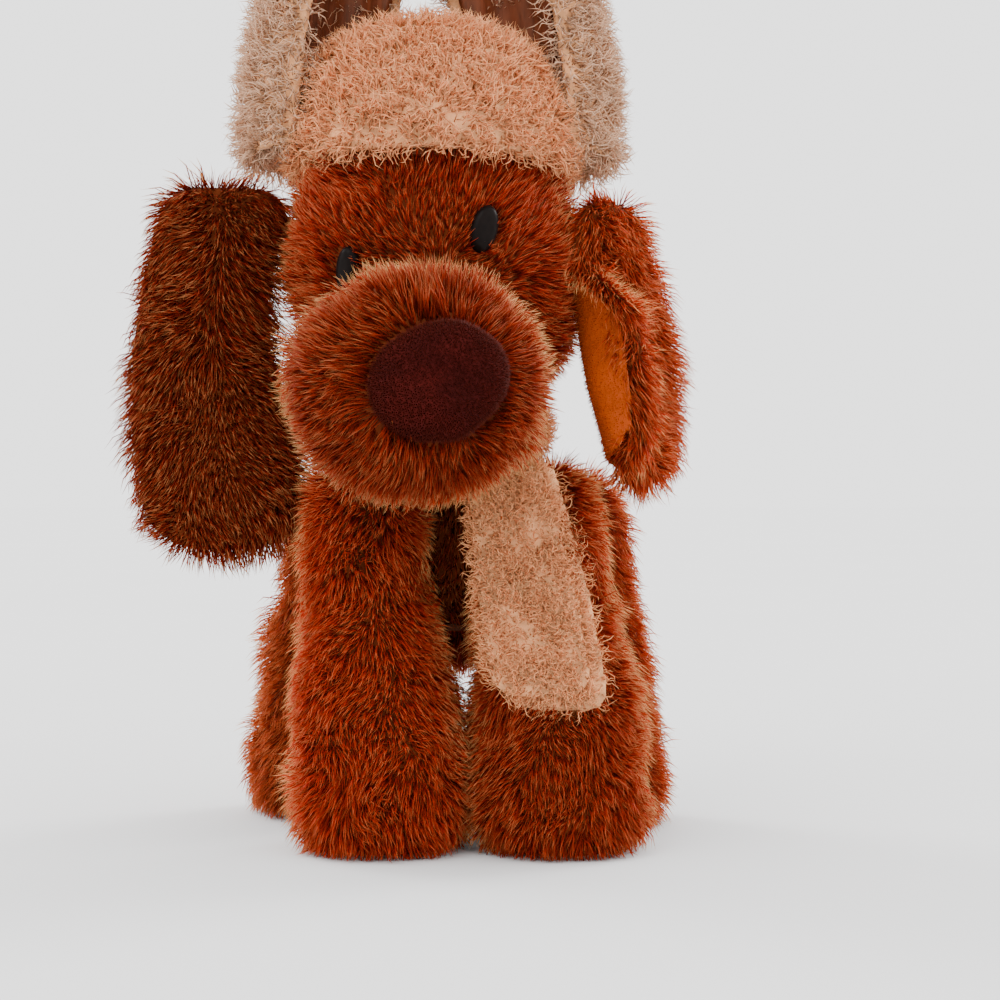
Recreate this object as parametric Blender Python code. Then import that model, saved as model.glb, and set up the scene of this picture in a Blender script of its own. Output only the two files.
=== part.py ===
"""Plush dog hand puppet in a hat and scarf, standing on its four paws.

Run with: blender --background --python part.py
The dog looks along -Y. All sizes below are millimetres, and the meshes are written in metres.
"""

import math

import bmesh
import bpy
import numpy
from mathutils import Matrix, Vector

MM = 0.001
GAP = 0.35  # between two pieces that touch on the real toy
SKIN = 2.0  # knitted backing of the long pile
LINING = 0.8  # satin and sleeve cloth
ROUND_STEPS = 3  # rings in a rounded end

# ---- torso, neck and hand sleeve --------------------------------------------------------
BELLY_HEIGHT = 77.0  # free lower edge above the floor, where the hand goes in
NECK_HEIGHT = 154.0
TORSO_RX, TORSO_RY = 30.0, 34.0
TORSO_Y = 14.0
NECK_R = 24.0
NECK_Y = 6.0
SLEEVE_RX, SLEEVE_RY = 22.0, 25.0
POCKET_R = 15.0  # the fingers' way through the neck and into the head
HEM_THICK = 2.2

# ---- head -------------------------------------------------------------------------------
HEAD_BASE = 163.0
HEAD_TOP = 281.0
HEAD_R = 50.0
HEAD_X, HEAD_Y = -8.0, -14.0
CROWN_R = 42.0  # half width of the skull where the hat's band sits
POCKET_TOP = 238.0
EYE_R = 6.0
EYE_LONG = 1.5  # height of an eye over its width
EYE_HEIGHT = 5.0
SHANK_R, SHANK_HOLE_R, SHANK_LENGTH = 1.9, 2.3, 7.0
WASHER_R, WASHER_THICK = 5.5, 1.4
WASHER_DEEP = 0.9 + (HEAD_R - CROWN_R) / 8  # behind the cloth, which curves away from the flat washer
LEFT_EYE_ANGLE, LEFT_EYE_Z = -32.0, 199.0
RIGHT_EYE_ANGLE, RIGHT_EYE_Z = 22.0, 211.0

# ---- muzzle and nose --------------------------------------------------------------------
MUZZLE_X, MUZZLE_Z = -11.0, 158.0
MUZZLE_RX, MUZZLE_RZ = 41.0, 36.0
MUZZLE_BACK, MUZZLE_FRONT = 36.0, 104.0  # distances in front of Y = 0
MUZZLE_ROUND = 27.0
NOSE_X, NOSE_Z = -3.0, 158.0
NOSE_RX, NOSE_RZ = 22.5, 18.5
NOSE_PROUD = 8.0  # in front of the muzzle
NOSE_FRONT = MUZZLE_FRONT + NOSE_PROUD
NOSE_DEEP = 16.0
NOSE_ROLL = 18.0

# ---- hat --------------------------------------------------------------------------------
BAND_HEIGHT = 237.0
HAT_WALL = 5.0
FLAP_BASE, FLAP_TOP = 244.0, 350.0
FLAP_WALL = 4.0
FLAP_EASE = 0.9  # between a flap's pile side and its lining
FLAP_EDGE = 4.0  # degrees by which the lining stops short of the flap's edge
FLAP_LEAN = 26.0  # how far a flap's top leans over the crown
FLAP_ROUND = 34.0  # how far below its top a flap starts to narrow
# Each flap: plan centre from the head's own, radius, first and last angle in degrees.
LEFT_FLAP = (HEAD_X - 21.2, HEAD_Y + 14.0, CROWN_R + 5.0, 236.0, 95.0)
RIGHT_FLAP = (HEAD_X + 20.4, HEAD_Y + 16.0, CROWN_R + 3.5, -50.0, 96.0)

# ---- ears -------------------------------------------------------------------------------
EAR_HALF = 28.5
EAR_THICK = 8.0
EAR_LINING_THICK = 2.4
LEFT_EAR_TOP, LEFT_EAR_LENGTH = 231.0, 128.0
RIGHT_EAR_TOP, RIGHT_EAR_LENGTH = 226.0, 98.0
# Each ear's front edge is sewn to the head's side: how far ahead or round, its play, its turn.
LEFT_EAR_AHEAD, LEFT_EAR_TUCK, LEFT_EAR_TURN = 6.0, 1.1, 188.0
LEFT_EAR_AT = (HEAD_X - math.sqrt(HEAD_R**2 - LEFT_EAR_AHEAD**2) - EAR_HALF + LEFT_EAR_TUCK,
               HEAD_Y - LEFT_EAR_AHEAD, LEFT_EAR_TOP)
RIGHT_EAR_SEWN, RIGHT_EAR_EASE, RIGHT_EAR_TURN = 26.3, 0.3, 230.0
RIGHT_EAR_AT = tuple(
    middle + HEAD_R * head_way - (EAR_HALF + RIGHT_EAR_EASE) * ear_way
    for middle, head_way, ear_way in (
        (HEAD_X, math.cos(math.radians(RIGHT_EAR_SEWN)), math.cos(math.radians(RIGHT_EAR_TURN))),
        (HEAD_Y, -math.sin(math.radians(RIGHT_EAR_SEWN)), math.sin(math.radians(RIGHT_EAR_TURN))))
) + (RIGHT_EAR_TOP,)
EAR_LINING_SHORT = 8.0  # the lining's length below the pile side's
EAR_LINING_IN = 3.0  # the lining's edge inside the pile side's

# ---- legs -------------------------------------------------------------------------------
SOLE_ROUND = 12.0
FRONT_TOP, REAR_TOP = 131.0, 128.0
FRONT_TOP_R, FRONT_PAW_R = 16.5, 26.5
REAR_TOP_R, REAR_PAW_R = 18.0, 25.0
LEG_MOUTH_R = 3.5  # turning hole left in the top seam
BEAN_TOP = 40.0

# ---- scarf and tail ---------------------------------------------------------------------
COLLAR_LOW, COLLAR_HIGH = 140.0, 154.0
COLLAR_THICK = 9.0
KNOT_HIGH, KNOT_HALF, KNOT_DEEP, KNOT_Y = 145.0, 12.0, 6.0, -27.5
SCARF_TOP, SCARF_LOW = 133.0, 55.0
SCARF_TOP_X, SCARF_TOP_Y = TORSO_RX - 12.0, -37.0
SCARF_SLANT = 13.0  # sideways travel from the knot to the lower edge
SCARF_HALF, SCARF_HALF_TOP = 17.5, 13.0
SCARF_THICK, UNDER_THICK = 5.0, 3.5
UNDER_SHIFT, UNDER_DROP = 5.0, 5.0
SCARF_EASE = 1.0  # the scarf's slack round the neck and over the leg
TAIL_R = 9.0
TAIL_TOP, TAIL_LOW = 112.0, 58.0


# Each leg: shoulder (x, y), paw (x, y), height, radius at the shoulder, radius at the paw.
# The places are measured from the torso's sides, chest and back, and from the legs' own radii.
CHEST, BACK = TORSO_Y - TORSO_RY, TORSO_Y + TORSO_RY
FRONT_OUT, FRONT_AHEAD = TORSO_RX + FRONT_TOP_R, CHEST - FRONT_TOP_R
REAR_OUT, REAR_BEHIND = TORSO_RX + REAR_TOP_R, BACK + REAR_TOP_R
FRONT_LEFT = ((-FRONT_OUT + 14.2, FRONT_AHEAD + 10.9), (-FRONT_OUT + 22.5, FRONT_AHEAD + 3.5),
              FRONT_TOP, FRONT_TOP_R, FRONT_PAW_R)
FRONT_RIGHT = ((FRONT_OUT - 16.3, FRONT_AHEAD + 12.3), (FRONT_OUT - 9.5, FRONT_AHEAD + 3.5),
               FRONT_TOP, FRONT_TOP_R, FRONT_PAW_R)
HIND_LEFT = ((-REAR_OUT + 5.0, REAR_BEHIND - 29.5), (-REAR_OUT - 4.0, REAR_BEHIND - 22.0),
             REAR_TOP, REAR_TOP_R, REAR_PAW_R)
HIND_RIGHT = ((REAR_OUT - 4.2, REAR_BEHIND - 29.1), (REAR_OUT + 2.0, REAR_BEHIND - 44.0),
              REAR_TOP, REAR_TOP_R, REAR_PAW_R)


# ---- shape helpers ----------------------------------------------------------------------


def smooth(stations, height):
    """Read a table of (height, value, value, ...) as a smooth curve through its rows."""
    table = numpy.array(stations, float)
    k = int(numpy.clip(numpy.searchsorted(table[:, 0], height) - 1, 0, len(table) - 2))
    rows = [table[max(k - 1, 0)], table[k], table[k + 1], table[min(k + 2, len(table) - 1)]]
    t = float(numpy.clip((height - rows[1][0]) / (rows[2][0] - rows[1][0]), 0, 1))
    weights = (
        -0.5 * t + t * t - 0.5 * t**3,
        1 - 2.5 * t * t + 1.5 * t**3,
        0.5 * t + 2 * t * t - 1.5 * t**3,
        -0.5 * t * t + 0.5 * t**3,
    )
    return sum(w * row[1:] for w, row in zip(weights, rows))


def squared(value, power):
    """A cosine or sine pushed towards the corners of a square: power 1 leaves it round."""
    return math.copysign(abs(value) ** power, value)


class Form:
    """A stack of ellipses along one axis, with a fillet at each end.

    Stations are (height, centre x, centre y, radius x, radius y).
    """

    def __init__(self, stations, low_round, high_round, sides=20, rings=4, power=1.0):
        self.stations = stations
        self.low, self.high = stations[0][0], stations[-1][0]
        self.low_round, self.high_round = low_round, high_round
        self.sides, self.rings = sides, rings
        turn = [2 * math.pi * k / sides for k in range(sides)]
        self.outline = [(squared(math.cos(a), power), squared(math.sin(a), power)) for a in turn]

    def levels(self, inset, low, high):
        """Heights with the amount each ring is drawn in, from the low end to the high end."""
        low_round = max(self.low_round - inset, 0.0)
        high_round = max(self.high_round - inset, 0.0)
        arc = [math.pi / 2 * k / ROUND_STEPS for k in range(ROUND_STEPS)]
        out = []
        if low_round:
            out += [(low + low_round * (1 - math.cos(a)), low_round * (1 - math.sin(a))) for a in arc]
        first, last = low + low_round, high - high_round
        out += [(first + (last - first) * k / self.rings, 0.0) for k in range(self.rings + 1)]
        if high_round:
            ends = [(high - high_round * (1 - math.cos(a)), high_round * (1 - math.sin(a))) for a in arc]
            out += reversed(ends)
        return out

    def loops(self, inset=0.0, low=None, high=None):
        """Rings of points. An end whose height is given is cut there instead of being inset."""
        low = self.low + inset if low is None else low
        high = self.high - inset if high is None else high
        rings = []
        for height, drawn in self.levels(inset, low, high):
            x, y, rx, ry = smooth(self.stations, min(max(height, self.low), self.high))
            rx, ry = self.radii(rx - inset, ry - inset, drawn)
            rings.append([(x + rx * u, y + ry * v, height) for u, v in self.outline])
        return rings

    def radii(self, rx, ry, drawn):
        return rx - drawn, ry - drawn


class Leaf(Form):
    """A flat form: its ends are rounded in width, and only thin a little there."""

    def radii(self, rx, ry, drawn):
        return rx - drawn, ry * (1 - 0.5 * drawn / max(self.low_round, self.high_round))


def strip_loops(stations, wall, steps=10):
    """Rings of a curved wall: (height, centre x, centre y, radius, start angle, end angle)."""
    loops = []
    for height, x, y, radius, start, end in stations:
        span = [math.radians(start + (end - start) * k / steps) for k in range(steps + 1)]
        outer = [(x + radius * math.cos(a), y + radius * math.sin(a), height) for a in span]
        inner = radius - wall
        back = [(x + inner * math.cos(a), y + inner * math.sin(a), height) for a in reversed(span)]
        loops.append(outer + back)
    return loops


def material(name, colour, roughness, metallic=0.0):
    mat = bpy.data.materials.new(name)
    mat.use_nodes = True
    shader = mat.node_tree.nodes["Principled BSDF"]
    shader.inputs["Base Color"].default_value = (*colour, 1.0)
    shader.inputs["Roughness"].default_value = roughness
    shader.inputs["Metallic"].default_value = metallic
    mat.diffuse_color = (*colour, 1.0)
    return mat


def stacked(name, loops, mat, ring=False, place=None):
    """One closed object from rings of points: capped at both ends, or closed on itself."""
    bm = bmesh.new()
    rings = [[bm.verts.new(Vector(p)) for p in points] for points in loops]
    pairs = list(zip(rings, rings[1:]))
    if ring:
        pairs.append((rings[-1], rings[0]))
    for low, high in pairs:
        for k, vert in enumerate(low):
            after = (k + 1) % len(low)
            bm.faces.new((vert, low[after], high[after], high[k]))
    if not ring:
        bm.faces.new(rings[0])
        bm.faces.new(rings[-1])
    bmesh.ops.transform(bm, matrix=Matrix.Scale(MM, 4) @ (place or Matrix()), verts=bm.verts)
    bmesh.ops.recalc_face_normals(bm, faces=bm.faces)
    mesh = bpy.data.meshes.new(name)
    bm.to_mesh(mesh)
    bm.free()
    mesh.shade_smooth()
    mesh.set_sharp_from_angle(angle=math.radians(50))
    mesh.materials.append(mat)
    obj = bpy.data.objects.new(name, mesh)
    bpy.context.collection.objects.link(obj)
    return obj


def cup(name, form, wall, mat, open_high=True, place=None, inset=0.0):
    """A shell of a form, open at one end. A rounded end opens through the flat of its fillet."""
    outer = form.loops(inset)
    inner = form.loops(inset + wall)
    if open_high:
        if not form.high_round:
            inner = form.loops(inset + wall, high=outer[-1][0][2])
        return stacked(name, outer + inner[::-1], mat, place=place)
    if not form.low_round:
        inner = form.loops(inset + wall, low=outer[0][0][2])
    return stacked(name, outer[::-1] + inner, mat, place=place)


def tube(name, outer, inner, mat, place=None):
    """A solid between two stacks of rings, open right through."""
    return stacked(name, outer + inner[::-1], mat, ring=True, place=place)


def cut(obj, cutter):
    """Take the cutter away from the object, and keep the cutter out of the model."""
    tool = obj.modifiers.new("cut by " + cutter.name, "BOOLEAN")
    tool.operation = "DIFFERENCE"
    tool.solver = "EXACT"
    tool.object = cutter
    cutter.hide_render = True
    cutter.display_type = "WIRE"


def along(point, direction, roll=0.0):
    """Frame whose local Z runs along a direction and whose local Y starts towards world up."""
    z = Vector(direction).normalized()
    x = Vector((0, 0, 1)).cross(z).normalized() * -1 if abs(z.z) < 0.99 else Vector((1, 0, 0))
    y = z.cross(x)
    turned = Matrix((x, y, z)).transposed().to_4x4() @ Matrix.Rotation(math.radians(roll), 4, "Z")
    return Matrix.Translation(point) @ turned


# ---- forms that several pieces share ----------------------------------------------------


def torso_form():
    rows = [
        (BELLY_HEIGHT, 0, TORSO_Y, TORSO_RX - 2, TORSO_RY - 2),
        (BELLY_HEIGHT + 24, 0, TORSO_Y, TORSO_RX, TORSO_RY),
        (BELLY_HEIGHT + 48, 0, TORSO_Y - 1, TORSO_RX, TORSO_RY - 2),
        (COLLAR_LOW, 0, NECK_Y + 1, NECK_R + 1, NECK_R + 2),
        (NECK_HEIGHT, 0, NECK_Y, NECK_R, NECK_R),
    ]
    return Form(rows, 0, 0, sides=20, rings=6)


def sleeve_form():
    rows = [
        (BELLY_HEIGHT, 0, TORSO_Y, SLEEVE_RX, SLEEVE_RY),
        (BELLY_HEIGHT + 40, 0, TORSO_Y, SLEEVE_RX, SLEEVE_RY),
        (NECK_HEIGHT - 8, 0, NECK_Y, POCKET_R, POCKET_R),
        (NECK_HEIGHT, 0, NECK_Y, POCKET_R, POCKET_R),
    ]
    return Form(rows, 0, 0, sides=20, rings=6)


def head_form():
    rows = [
        (HEAD_BASE, -1, NECK_Y - 2, HEAD_R - 5, HEAD_R - 8),
        (HEAD_BASE + 22, HEAD_X + 2, HEAD_Y + 6, HEAD_R - 3, HEAD_R - 4),
        (HEAD_BASE + 44, HEAD_X, HEAD_Y, HEAD_R, HEAD_R),
        (BAND_HEIGHT, HEAD_X, HEAD_Y, CROWN_R, CROWN_R + 2),
        (HEAD_TOP, HEAD_X, HEAD_Y + 2, CROWN_R - 4, CROWN_R - 2),
    ]
    return Form(rows, 24, 30, sides=24, rings=5)


def pocket_form():
    rows = [
        (HEAD_BASE, -1, NECK_Y - 2, POCKET_R, POCKET_R),
        (HEAD_BASE + 20, -3, NECK_Y - 8, POCKET_R, POCKET_R),
        (POCKET_TOP, HEAD_X, HEAD_Y, POCKET_R, POCKET_R),
    ]
    return Form(rows, 0, POCKET_R - 3, sides=24, rings=3)


def muzzle_form():
    """Stacked forward from the face, local X to world X and local Y to world Z."""
    rows = [
        (MUZZLE_BACK, MUZZLE_X, MUZZLE_Z + 3, MUZZLE_RX - 9, MUZZLE_RZ - 10),
        (MUZZLE_BACK + 24, MUZZLE_X, MUZZLE_Z + 1, MUZZLE_RX - 3, MUZZLE_RZ - 4),
        (MUZZLE_FRONT - 20, MUZZLE_X, MUZZLE_Z, MUZZLE_RX, MUZZLE_RZ),
        (MUZZLE_FRONT, MUZZLE_X, MUZZLE_Z, MUZZLE_RX - 3, MUZZLE_RZ - 2),
    ]
    return Form(rows, 0, MUZZLE_ROUND, sides=20, rings=3)


FORWARD = Matrix(((1, 0, 0, 0), (0, 0, -1, 0), (0, 1, 0, 0), (0, 0, 0, 1)))


def hat_form():
    """Inner face of the hat's lining: the skull's own width, from the band up."""
    rows = [
        (BAND_HEIGHT, HEAD_X, HEAD_Y, CROWN_R + GAP + 1.0, CROWN_R + 3.0 + GAP),
        (BAND_HEIGHT + 20, HEAD_X, HEAD_Y + 1, CROWN_R - 0.5 + GAP, CROWN_R + 1.5 + GAP),
        (HEAD_TOP + GAP, HEAD_X, HEAD_Y + 2, CROWN_R - 3.5 + GAP, CROWN_R - 1.5 + GAP),
    ]
    return Form(rows, 0, 29, sides=24, rings=3)


def leg_form(top, foot, height, top_r, paw_r):
    """A leg from its paw's centre on the floor up to its shoulder."""
    (x0, y0), (x1, y1) = foot, top
    rows = [
        (0.0, x0, y0, paw_r - 1, paw_r),
        (22.0, x0, y0, paw_r, paw_r),
        (62.0, x0 + (x1 - x0) * 0.4, y0 + (y1 - y0) * 0.4, paw_r - 4, paw_r - 4),
        (height * 0.5 + 62 * 0.5, x0 + (x1 - x0) * 0.8, y0 + (y1 - y0) * 0.8, top_r + 0.55, top_r + 0.55),
        (height, x1, y1, top_r, top_r),
    ]
    return Form(rows, SOLE_ROUND, top_r - LEG_MOUTH_R, sides=16, rings=4)


def leaf_form(length, half, thick, offset, top_half, shift):
    """A flat ear that hangs down its own -Z: local X is its width and local Y its thickness."""
    rows = [
        (-length, 0, offset, half - 5, thick),
        (-length * 0.75, 0, offset, half, thick),
        (-length * 0.4, 0, offset, half, thick),
        (-length * 0.15, shift * 0.6, offset, (half + top_half) / 2, thick),
        (0.0, shift, offset, top_half, thick),
    ]
    return rows


# ---- pieces -----------------------------------------------------------------------------


def build_torso(mats):
    skin, sleeve = torso_form(), sleeve_form()
    tube("torso_plush", skin.loops(), skin.loops(SKIN, skin.low, skin.high), mats["plush"])
    fill = SKIN + GAP
    low, high = BELLY_HEIGHT + GAP, NECK_HEIGHT - GAP
    tube("torso_stuffing", skin.loops(fill, low, high), sleeve.loops(-GAP, low, high), mats["fibre"])
    tube("hand_sleeve", sleeve.loops(0, low, high), sleeve.loops(LINING, low, high), mats["sleeve"])
    hem_low = BELLY_HEIGHT - GAP - HEM_THICK
    hem = Form([(hem_low, 0, TORSO_Y, TORSO_RX - 2, TORSO_RY - 2),
                (BELLY_HEIGHT - GAP, 0, TORSO_Y, TORSO_RX - 2, TORSO_RY - 2)], 0, 0, sides=20, rings=1)
    width = TORSO_RX - 2 - SLEEVE_RX + LINING
    tube("sleeve_hem", hem.loops(), hem.loops(width, hem.low, hem.high), mats["sleeve"])


def build_neck(mats):
    rows = [(NECK_HEIGHT + GAP, 0, NECK_Y, POCKET_R + 6, POCKET_R + 6),
            (HEAD_BASE - GAP, -1, NECK_Y - 2, POCKET_R + 5.5, POCKET_R + 5.5)]
    neck = Form(rows, 0, 0, sides=20, rings=2)
    tube("neck_plush", neck.loops(), neck.loops(5.0, neck.low, neck.high), mats["plush"])


def eye_frame(angle, height):
    """A point on the face, and the way the face looks there."""

    def face(turned, level):
        x, y, rx, ry = smooth(head_form().stations, level)
        return Vector((x + rx * math.sin(turned), y - ry * math.cos(turned), level))

    a = math.radians(angle)
    across = face(a + 0.05, height) - face(a - 0.05, height)
    upward = face(a, height + 3) - face(a, height - 3)
    return face(a, height), across.cross(upward)


def build_eye(side, angle, height, head, stuffing, mats):
    point, normal = eye_frame(angle, height)
    place = along(point, normal)
    dome = Form([(1.2, 0, 0, EYE_R, EYE_R * EYE_LONG), (EYE_HEIGHT, 0, 0, EYE_R, EYE_R * EYE_LONG)],
                0, EYE_HEIGHT - 1.4, sides=16, rings=1)
    shank = [(SHANK_R * math.cos(a), SHANK_R * math.sin(a)) for a in
             (2 * math.pi * k / 16 for k in range(16))]
    post = [[(x, y, h) for x, y in shank] for h in (-SHANK_LENGTH, 1.2)]
    stacked(side + "_eye", post + dome.loops(), mats["eye"], place=place)
    hole = Form([(-SHANK_LENGTH - 2, 0, 0, SHANK_HOLE_R, SHANK_HOLE_R),
                 (4, 0, 0, SHANK_HOLE_R, SHANK_HOLE_R)], 0, 0, sides=16, rings=1)
    drill = stacked(side + "_eye_drill", hole.loops(), mats["eye"], place=place)
    seat_high = -SKIN - WASHER_DEEP
    seat_low = seat_high - WASHER_THICK
    ring = Form([(seat_low, 0, 0, WASHER_R, WASHER_R), (seat_high, 0, 0, WASHER_R, WASHER_R)],
                0, 0, sides=16, rings=1)
    tube(side + "_eye_washer", ring.loops(), ring.loops(WASHER_R - SHANK_R - 0.1, ring.low, ring.high),
         mats["washer"], place=place)
    room = Form([(seat_low - GAP - 3, 0, 0, WASHER_R + GAP, WASHER_R + GAP),
                 (2.0, 0, 0, WASHER_R + GAP, WASHER_R + GAP)], 0, 0, sides=16, rings=1)
    recess = stacked(side + "_washer_room", room.loops(), mats["washer"], place=place)
    cut(head, drill)
    cut(stuffing, recess)


def build_head(mats):
    form, pocket = head_form(), pocket_form()
    head = cup("head_plush", form, SKIN, mats["plush"], open_high=False)
    outer = form.loops(SKIN + GAP)
    seat = outer[0][0][2]
    hollow = pocket.loops(-GAP, low=seat)
    stuffing = stacked("head_stuffing", outer[::-1] + hollow, mats["fibre"])
    lining = pocket.loops(0, low=seat)
    cavity = pocket.loops(LINING, low=seat)
    stacked("head_pocket_lining", lining[::-1] + cavity, mats["sleeve"])
    build_eye("left", LEFT_EYE_ANGLE, LEFT_EYE_Z, head, stuffing, mats)
    build_eye("right", RIGHT_EYE_ANGLE, RIGHT_EYE_Z, head, stuffing, mats)


def build_muzzle(mats):
    form = muzzle_form()
    skull = stacked("skull_cutter", head_form().loops(-GAP), mats["plush"])
    outer, inner = form.loops(), form.loops(SKIN, low=form.low)
    skin = stacked("muzzle_plush", outer[::-1] + inner, mats["plush"], place=FORWARD)
    flesh = stacked("muzzle_stuffing", form.loops(SKIN + GAP), mats["fibre"], place=FORWARD)
    cut(skin, skull)
    cut(flesh, skull)
    back = NOSE_FRONT - NOSE_DEEP
    place = Matrix.Translation((NOSE_X, 0, NOSE_Z)) @ FORWARD @ Matrix.Rotation(
        math.radians(NOSE_ROLL), 4, "Z")
    pad = Form([(back, 0, 0, NOSE_RX - 3, NOSE_RZ - 3), (NOSE_FRONT - 8, 0, 0, NOSE_RX, NOSE_RZ),
                (NOSE_FRONT, 0, 0, NOSE_RX - 1, NOSE_RZ - 1)], 0, 9, sides=20, rings=2)
    nose = stacked("nose_pad", pad.loops(), mats["nose"], place=place)
    front = stacked("muzzle_cutter", form.loops(-GAP), mats["plush"], place=FORWARD)
    cut(nose, front)


def build_hat(mats):
    form = hat_form()
    cup("hat_lining", form, LINING, mats["satin"], open_high=False, inset=-LINING)
    rows = [(h, x, y, rx + 2 * GAP + LINING, ry + 2 * GAP + LINING) for h, x, y, rx, ry in form.stations]
    rows[-1] = (rows[-1][0] + GAP + LINING, *rows[-1][1:])
    crown = Form(rows, 0, 29, sides=24, rings=3)
    outer = crown.loops(-HAT_WALL, low=BAND_HEIGHT)
    inner = crown.loops(0, low=BAND_HEIGHT)
    stacked("hat_crown_plush", outer[::-1] + inner, mats["cream"])


def flap_stations(side, base_x, base_y, radius, start, end):
    """Rows of a turned-up flap: it leans inwards, and its top corners are rounded."""
    rows = []
    heights = [FLAP_BASE + (FLAP_TOP - FLAP_ROUND - FLAP_BASE) * k / 3 for k in range(4)]
    heights += [FLAP_TOP - FLAP_ROUND * (1 - math.sin(math.pi / 2 * k / 4)) for k in range(1, 5)]
    middle = (start + end) / 2
    for height in heights:
        lean = -side * FLAP_LEAN * ((height - FLAP_BASE) / (FLAP_TOP - FLAP_BASE)) ** 2
        above = max(height - (FLAP_TOP - FLAP_ROUND), 0) / FLAP_ROUND
        share = 0.22 + 0.78 * math.sqrt(max(1 - above * above, 0))
        rows.append((height, base_x + lean, base_y, radius,
                     middle + (start - middle) * share, middle + (end - middle) * share))
    return rows


def build_flap(name, side, base_x, base_y, radius, start, end, mats):
    rows = flap_stations(side, base_x, base_y, radius, start, end)
    stacked(name + "_hat_flap_plush", strip_loops(rows, FLAP_WALL), mats["cream"])
    inner = [(h, x, y, r - FLAP_WALL - FLAP_EASE, a + side * FLAP_EDGE, b - side * FLAP_EDGE)
             for h, x, y, r, a, b in rows]
    stacked(name + "_hat_flap_lining", strip_loops(inner, LINING), mats["satin"])


def build_ear(name, place, length, shift, top_half, mats):
    plush = leaf_form(length, EAR_HALF, EAR_THICK / 2, EAR_THICK / 2 + GAP / 2, top_half, shift)
    back = EAR_LINING_THICK / 2
    inner = leaf_form(length - EAR_LINING_SHORT, EAR_HALF - EAR_LINING_IN, back, -back - GAP / 2,
                      top_half - EAR_LINING_IN, shift)
    inner = [(h - EAR_LINING_SHORT / 2, *rest) for h, *rest in inner]
    for label, rows, mat in (("plush", plush, "plush"), ("lining", inner, "ear")):
        leaf = Leaf(rows, 16, 8, sides=16, rings=4)
        stacked(name + "_ear_" + label, leaf.loops(), mats[mat], place=place)


def build_leg(name, sizes, mats):
    form = leg_form(*sizes)
    cup(name + "_leg_plush", form, SKIN, mats["plush"])
    fill = SKIN + GAP
    whole = form.loops(fill)
    x, y, rx, ry = smooth(form.stations, BEAN_TOP)
    shelf = [(x + (rx - fill) * u, y + (ry - fill) * v) for u, v in form.outline]
    beans = [ring for ring in whole if ring[0][2] < BEAN_TOP - 3]
    fibre = [ring for ring in whole if ring[0][2] > BEAN_TOP + 3]
    stacked(name + "_paw_beans", beans + [[(px, py, BEAN_TOP) for px, py in shelf]], mats["beans"])
    stacked(name + "_leg_stuffing", [[(px, py, BEAN_TOP + GAP) for px, py in shelf]] + fibre, mats["fibre"])


def collar_forms():
    """The scarf's turn round the neck, and the neck's own width inside it."""
    fit, rows = torso_form(), []
    for height in numpy.linspace(COLLAR_LOW, COLLAR_HIGH, 6):
        x, y, rx, ry = smooth(fit.stations, min(height, NECK_HEIGHT))
        rows.append((height, x, y, rx + SCARF_EASE, ry + SCARF_EASE))
    outer = [(h, x, y, rx + COLLAR_THICK, ry + COLLAR_THICK) for h, x, y, rx, ry in rows]
    rings = 2 + 2 * ROUND_STEPS
    return Form(outer, 4, 4, sides=20, rings=2), Form(rows, 0, 0, sides=20, rings=rings)


def scarf_rows(depth, thick, shift, low):
    """A hanging end, lying over the front of the right front leg."""
    leg = leg_form(*FRONT_RIGHT)
    rows = []
    for k in range(7):
        height = low + (SCARF_TOP - low) * k / 6
        share = (SCARF_TOP - height) / (SCARF_TOP - SCARF_LOW)
        x, y, rx, ry = smooth(leg.stations, height)
        shoulder = FRONT_TOP - FRONT_TOP_R
        lean = max(height - shoulder, 0) / (SCARF_TOP - shoulder)
        front = (y - ry) * (1 - lean) + SCARF_TOP_Y * lean - depth - thick / 2
        half = SCARF_HALF_TOP + (SCARF_HALF - SCARF_HALF_TOP) * min(share * 1.6, 1)
        rows.append((height, SCARF_TOP_X + SCARF_SLANT * share + shift, front, half, thick / 2))
    return rows


def build_scarf(mats):
    collar, bore = collar_forms()
    tube("scarf_collar", collar.loops(), bore.loops(), mats["cream"])
    rows = [(SCARF_TOP + GAP, SCARF_TOP_X, KNOT_Y, KNOT_HALF, KNOT_DEEP),
            (KNOT_HIGH, SCARF_TOP_X - 2, KNOT_Y, KNOT_HALF - 1, KNOT_DEEP)]
    knot = stacked("scarf_knot", Form(rows, 4, 4, sides=16, rings=2).loops(), mats["cream"])
    wide = [(h, x, y, rx + GAP, ry + GAP) for h, x, y, rx, ry in collar.stations]
    wide[0] = (wide[0][0] - 4, *wide[0][1:])
    cut(knot, stacked("collar_cutter", Form(wide, 0, 0, sides=24, rings=4).loops(), mats["cream"]))
    under = scarf_rows(SCARF_EASE, UNDER_THICK, UNDER_SHIFT, SCARF_LOW - UNDER_DROP)
    upper = scarf_rows(SCARF_EASE + UNDER_THICK + GAP, SCARF_THICK, 0.0, SCARF_LOW)
    for name, rows in (("scarf_end_under", under), ("scarf_end_upper", upper)):
        leaf = Leaf(rows, 9, 3, sides=16, rings=6, power=0.6)
        stacked(name, leaf.loops(), mats["cream"])


def build_tail(mats):
    y = TORSO_Y + TORSO_RY + GAP + TAIL_R
    rows = [(TAIL_LOW, 0, y + 10, TAIL_R - 1, TAIL_R - 1), (TAIL_LOW + 25, 0, y + 6, TAIL_R, TAIL_R),
            (TAIL_TOP - 10, 0, y, TAIL_R, TAIL_R), (TAIL_TOP, 0, y, TAIL_R - 1, TAIL_R - 1)]
    form = Form(rows, TAIL_R - 3, TAIL_R - 4, sides=16, rings=4)
    cup("tail_plush", form, SKIN, mats["plush"])
    stacked("tail_stuffing", form.loops(SKIN + GAP), mats["fibre"])


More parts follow.
